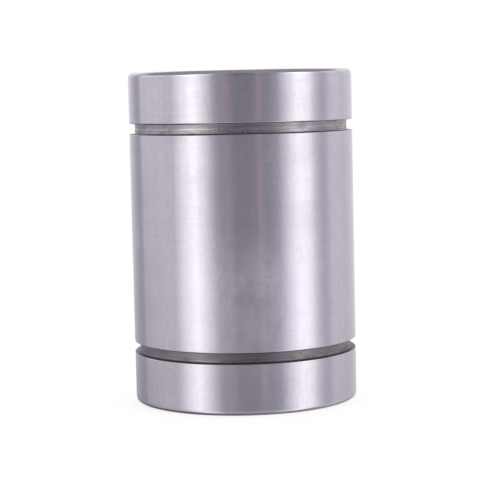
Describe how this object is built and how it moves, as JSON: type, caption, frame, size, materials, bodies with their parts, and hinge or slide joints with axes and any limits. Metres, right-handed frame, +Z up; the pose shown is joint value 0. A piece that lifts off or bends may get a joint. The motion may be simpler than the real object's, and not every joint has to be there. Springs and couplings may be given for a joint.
{
  "type": "linear ball bearing",
  "caption": "Sealed linear ball bearing: plain ground steel sleeve with two retaining ring grooves, resin cage, recirculating ball circuits and a wiper seal at each end.",
  "frame": {"origin": "centre of the lower end face", "axes": "+Z up along the bore axis, from the lower to the upper end; +X through the loaded row of the first ball circuit"},
  "size_m": [0.04, 0.04, 0.059],
  "materials": {
    "sleeve_steel": "ground bearing steel with fine marks round the axis",
    "ball_steel": "polished ball steel",
    "side_ring_steel": "plain stamped washer",
    "spring_steel": "dark oiled spring steel",
    "cage_resin": "moulded natural resin",
    "seal_rubber": "moulded black rubber"
  },
  "bodies": {
    "sleeve_and_cage": {"outer_sleeve": "sleeve_steel", "ball_cage": "cage_resin", "lower_side_ring": "side_ring_steel", "upper_side_ring": "side_ring_steel", "lower_seal": "seal_rubber", "upper_seal": "seal_rubber", "lower_snap_ring": "spring_steel", "upper_snap_ring": "spring_steel"},
    "load_row_1": {"load_balls_1": "ball_steel"},
    "return_row_1": {"return_balls_1": "ball_steel"},
    "lower_turn_1": {"lower_turn_balls_1": "ball_steel"},
    "upper_turn_1": {"upper_turn_balls_1": "ball_steel"},
    "load_row_2": {"load_balls_2": "ball_steel"},
    "return_row_2": {"return_balls_2": "ball_steel"},
    "lower_turn_2": {"lower_turn_balls_2": "ball_steel"},
    "upper_turn_2": {"upper_turn_balls_2": "ball_steel"},
    "load_row_3": {"load_balls_3": "ball_steel"},
    "return_row_3": {"return_balls_3": "ball_steel"},
    "lower_turn_3": {"lower_turn_balls_3": "ball_steel"},
    "upper_turn_3": {"upper_turn_balls_3": "ball_steel"},
    "load_row_4": {"load_balls_4": "ball_steel"},
    "return_row_4": {"return_balls_4": "ball_steel"},
    "lower_turn_4": {"lower_turn_balls_4": "ball_steel"},
    "upper_turn_4": {"upper_turn_balls_4": "ball_steel"},
    "load_row_5": {"load_balls_5": "ball_steel"},
    "return_row_5": {"return_balls_5": "ball_steel"},
    "lower_turn_5": {"lower_turn_balls_5": "ball_steel"},
    "upper_turn_5": {"upper_turn_balls_5": "ball_steel"},
    "load_row_6": {"load_balls_6": "ball_steel"},
    "return_row_6": {"return_balls_6": "ball_steel"},
    "lower_turn_6": {"lower_turn_balls_6": "ball_steel"},
    "upper_turn_6": {"upper_turn_balls_6": "ball_steel"}
  },
  "joints": [
    {"name": "load_row_1_roll", "type": "slide", "parent": "sleeve_and_cage", "child": "load_row_1", "axis": [0, 0, 1], "range_m": [-0.00205, 0.00205]},
    {"name": "return_row_1_roll", "type": "slide", "parent": "sleeve_and_cage", "child": "return_row_1", "axis": [0, 0, 1], "range_m": [-0.00205, 0.00205]},
    {"name": "lower_turn_1_roll", "type": "hinge", "parent": "sleeve_and_cage", "child": "lower_turn_1", "pos_m": [0.01448, 0.0029, 0.0131], "axis": [-1, 0, 0], "range_deg": [-45, 45]},
    {"name": "upper_turn_1_roll", "type": "hinge", "parent": "sleeve_and_cage", "child": "upper_turn_1", "pos_m": [0.01448, 0.0029, 0.0459], "axis": [-1, 0, 0], "range_deg": [-45, 45]},
    {"name": "load_row_2_roll", "type": "slide", "parent": "sleeve_and_cage", "child": "load_row_2", "axis": [0, 0, 1], "range_m": [-0.00205, 0.00205]},
    {"name": "return_row_2_roll", "type": "slide", "parent": "sleeve_and_cage", "child": "return_row_2", "axis": [0, 0, 1], "range_m": [-0.00205, 0.00205]},
    {"name": "lower_turn_2_roll", "type": "hinge", "parent": "sleeve_and_cage", "child": "lower_turn_2", "pos_m": [0.00473, 0.01399, 0.0131], "axis": [-0.5, -0.866, 0], "range_deg": [-45, 45]},
    {"name": "upper_turn_2_roll", "type": "hinge", "parent": "sleeve_and_cage", "child": "upper_turn_2", "pos_m": [0.00473, 0.01399, 0.0459], "axis": [-0.5, -0.866, 0], "range_deg": [-45, 45]},
    {"name": "load_row_3_roll", "type": "slide", "parent": "sleeve_and_cage", "child": "load_row_3", "axis": [0, 0, 1], "range_m": [-0.00205, 0.00205]},
    {"name": "return_row_3_roll", "type": "slide", "parent": "sleeve_and_cage", "child": "return_row_3", "axis": [0, 0, 1], "range_m": [-0.00205, 0.00205]},
    {"name": "lower_turn_3_roll", "type": "hinge", "parent": "sleeve_and_cage", "child": "lower_turn_3", "pos_m": [-0.00975, 0.01109, 0.0131], "axis": [0.5, -0.866, 0], "range_deg": [-45, 45]},
    {"name": "upper_turn_3_roll", "type": "hinge", "parent": "sleeve_and_cage", "child": "upper_turn_3", "pos_m": [-0.00975, 0.01109, 0.0459], "axis": [0.5, -0.866, 0], "range_deg": [-45, 45]},
    {"name": "load_row_4_roll", "type": "slide", "parent": "sleeve_and_cage", "child": "load_row_4", "axis": [0, 0, 1], "range_m": [-0.00205, 0.00205]},
    {"name": "return_row_4_roll", "type": "slide", "parent": "sleeve_and_cage", "child": "return_row_4", "axis": [0, 0, 1], "range_m": [-0.00205, 0.00205]},
    {"name": "lower_turn_4_roll", "type": "hinge", "parent": "sleeve_and_cage", "child": "lower_turn_4", "pos_m": [-0.01448, -0.0029, 0.0131], "axis": [1, 0, 0], "range_deg": [-45, 45]},
    {"name": "upper_turn_4_roll", "type": "hinge", "parent": "sleeve_and_cage", "child": "upper_turn_4", "pos_m": [-0.01448, -0.0029, 0.0459], "axis": [1, 0, 0], "range_deg": [-45, 45]},
    {"name": "load_row_5_roll", "type": "slide", "parent": "sleeve_and_cage", "child": "load_row_5", "axis": [0, 0, 1], "range_m": [-0.00205, 0.00205]},
    {"name": "return_row_5_roll", "type": "slide", "parent": "sleeve_and_cage", "child": "return_row_5", "axis": [0, 0, 1], "range_m": [-0.00205, 0.00205]},
    {"name": "lower_turn_5_roll", "type": "hinge", "parent": "sleeve_and_cage", "child": "lower_turn_5", "pos_m": [-0.00473, -0.01399, 0.0131], "axis": [0.5, 0.866, 0], "range_deg": [-45, 45]},
    {"name": "upper_turn_5_roll", "type": "hinge", "parent": "sleeve_and_cage", "child": "upper_turn_5", "pos_m": [-0.00473, -0.01399, 0.0459], "axis": [0.5, 0.866, 0], "range_deg": [-45, 45]},
    {"name": "load_row_6_roll", "type": "slide", "parent": "sleeve_and_cage", "child": "load_row_6", "axis": [0, 0, 1], "range_m": [-0.00205, 0.00205]},
    {"name": "return_row_6_roll", "type": "slide", "parent": "sleeve_and_cage", "child": "return_row_6", "axis": [0, 0, 1], "range_m": [-0.00205, 0.00205]},
    {"name": "lower_turn_6_roll", "type": "hinge", "parent": "sleeve_and_cage", "child": "lower_turn_6", "pos_m": [0.00975, -0.01109, 0.0131], "axis": [-0.5, 0.866, 0], "range_deg": [-45, 45]},
    {"name": "upper_turn_6_roll", "type": "hinge", "parent": "sleeve_and_cage", "child": "upper_turn_6", "pos_m": [0.00975, -0.01109, 0.0459], "axis": [-0.5, 0.866, 0], "range_deg": [-45, 45]}
  ],
  "couplings": [
    {"joint": "return_row_1_roll", "follows": "load_row_1_roll", "ratio": -1},
    {"joint": "lower_turn_1_roll", "follows": "load_row_1_roll", "rad_per_m": 383.1},
    {"joint": "upper_turn_1_roll", "follows": "load_row_1_roll", "rad_per_m": 383.1},
    {"joint": "return_row_2_roll", "follows": "load_row_2_roll", "ratio": -1},
    {"joint": "lower_turn_2_roll", "follows": "load_row_2_roll", "rad_per_m": 383.1},
    {"joint": "upper_turn_2_roll", "follows": "load_row_2_roll", "rad_per_m": 383.1},
    {"joint": "return_row_3_roll", "follows": "load_row_3_roll", "ratio": -1},
    {"joint": "lower_turn_3_roll", "follows": "load_row_3_roll", "rad_per_m": 383.1},
    {"joint": "upper_turn_3_roll", "follows": "load_row_3_roll", "rad_per_m": 383.1},
    {"joint": "return_row_4_roll", "follows": "load_row_4_roll", "ratio": -1},
    {"joint": "lower_turn_4_roll", "follows": "load_row_4_roll", "rad_per_m": 383.1},
    {"joint": "upper_turn_4_roll", "follows": "load_row_4_roll", "rad_per_m": 383.1},
    {"joint": "return_row_5_roll", "follows": "load_row_5_roll", "ratio": -1},
    {"joint": "lower_turn_5_roll", "follows": "load_row_5_roll", "rad_per_m": 383.1},
    {"joint": "upper_turn_5_roll", "follows": "load_row_5_roll", "rad_per_m": 383.1},
    {"joint": "return_row_6_roll", "follows": "load_row_6_roll", "ratio": -1},
    {"joint": "lower_turn_6_roll", "follows": "load_row_6_roll", "rad_per_m": 383.1},
    {"joint": "upper_turn_6_roll", "follows": "load_row_6_roll", "rad_per_m": 383.1}
  ]
}
